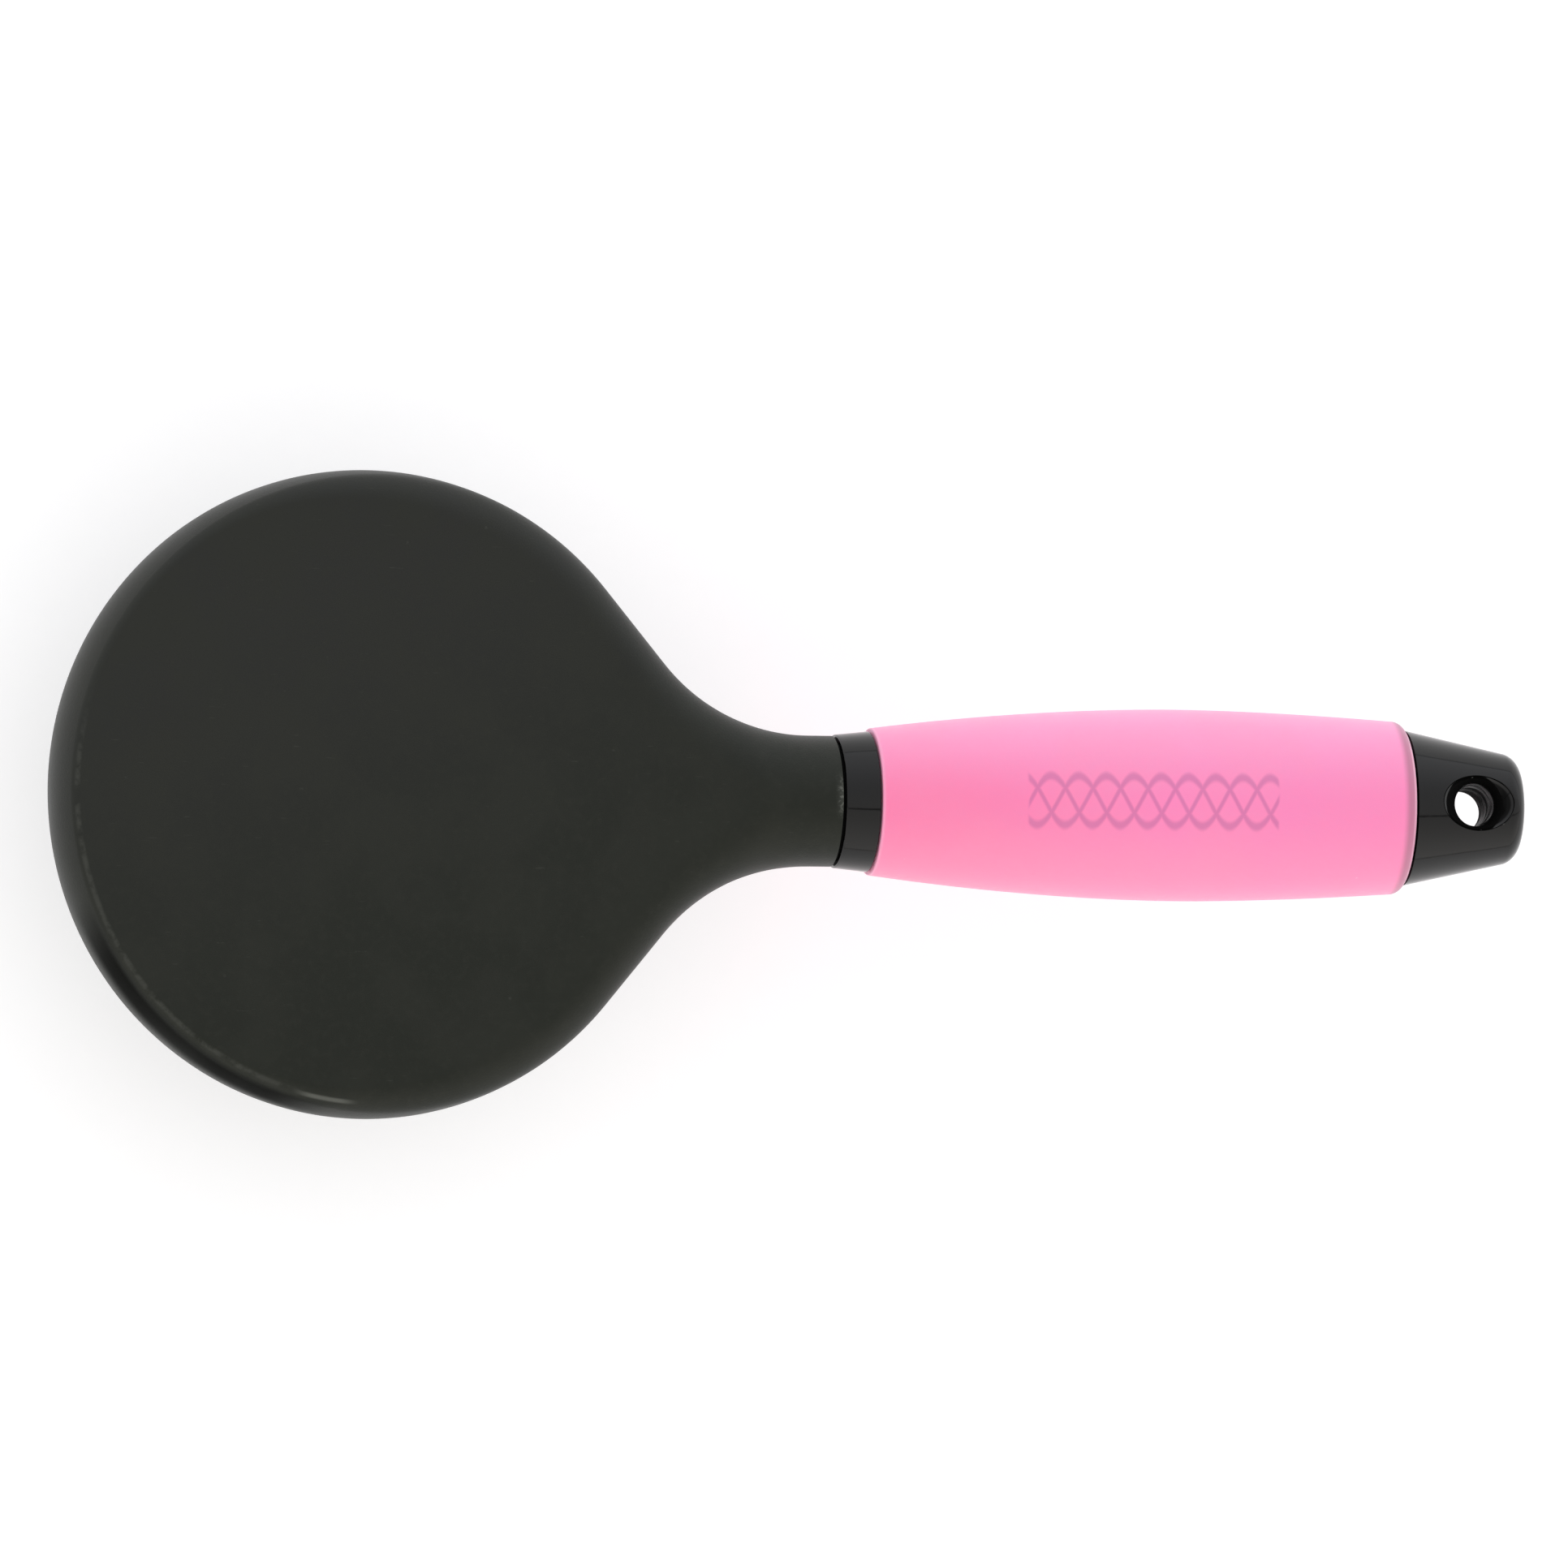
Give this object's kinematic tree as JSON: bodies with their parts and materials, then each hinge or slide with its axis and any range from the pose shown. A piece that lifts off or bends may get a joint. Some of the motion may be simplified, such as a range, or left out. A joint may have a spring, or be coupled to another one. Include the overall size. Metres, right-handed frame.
{
  "type": "mane and tail brush",
  "caption": "Round paddle grooming brush for manes and tails: air-cushioned pad of ball-tipped pins, waisted neck, gel-sleeved grip and a glossy end cap with a hanging hole.",
  "frame": {"origin": "centre of the paddle's flat back face", "axes": "+Z out of the back face, pins along -Z, +X from the head along the handle"},
  "size_m": [0.247, 0.1058, 0.0555],
  "materials": {
    "soft_touch_black": "soft-touch matte black with a fine mottle",
    "gloss_black": "polished black",
    "pink_gel": "translucent soft pink gel, satin",
    "pink_core": "semi-gloss pink moulding under the gel",
    "pad_rubber": "matte black rubber",
    "pin_steel": "bright drawn wire with ball tips",
    "backing_felt": "pale felt"
  },
  "bodies": {
    "brush": {"paddle_body": "soft_touch_black", "cushion_pad": "pad_rubber", "collar_ring": "gloss_black", "handle_core": "pink_core", "gel_sleeve": "pink_gel", "end_cap": "gloss_black"},
    "pin_bed": {"pin_backing_sheet": "backing_felt", "pin_01": "pin_steel", "pin_02": "pin_steel", "pin_03": "pin_steel", "pin_04": "pin_steel", "pin_05": "pin_steel", "pin_06": "pin_steel", "pin_07": "pin_steel", "pin_08": "pin_steel", "pin_09": "pin_steel", "pin_10": "pin_steel", "pin_11": "pin_steel", "pin_12": "pin_steel", "pin_13": "pin_steel", "pin_14": "pin_steel", "pin_15": "pin_steel", "pin_16": "pin_steel", "pin_17": "pin_steel", "pin_18": "pin_steel", "pin_19": "pin_steel", "pin_20": "pin_steel", "pin_21": "pin_steel", "pin_22": "pin_steel", "pin_23": "pin_steel", "pin_24": "pin_steel", "pin_25": "pin_steel", "pin_26": "pin_steel", "pin_27": "pin_steel", "pin_28": "pin_steel", "pin_29": "pin_steel", "pin_30": "pin_steel", "pin_31": "pin_steel", "pin_32": "pin_steel", "pin_33": "pin_steel", "pin_34": "pin_steel", "pin_35": "pin_steel", "pin_36": "pin_steel", "pin_37": "pin_steel", "pin_38": "pin_steel", "pin_39": "pin_steel", "pin_40": "pin_steel", "pin_41": "pin_steel", "pin_42": "pin_steel", "pin_43": "pin_steel"}
  },
  "joints": [
    {"name": "cushion_press", "type": "slide", "parent": "brush", "child": "pin_bed", "axis": [0, 0, 1], "range_m": [0, 0.004], "stiffness_N_per_m": 2500, "deforming": ["cushion_pad"]}
  ]
}
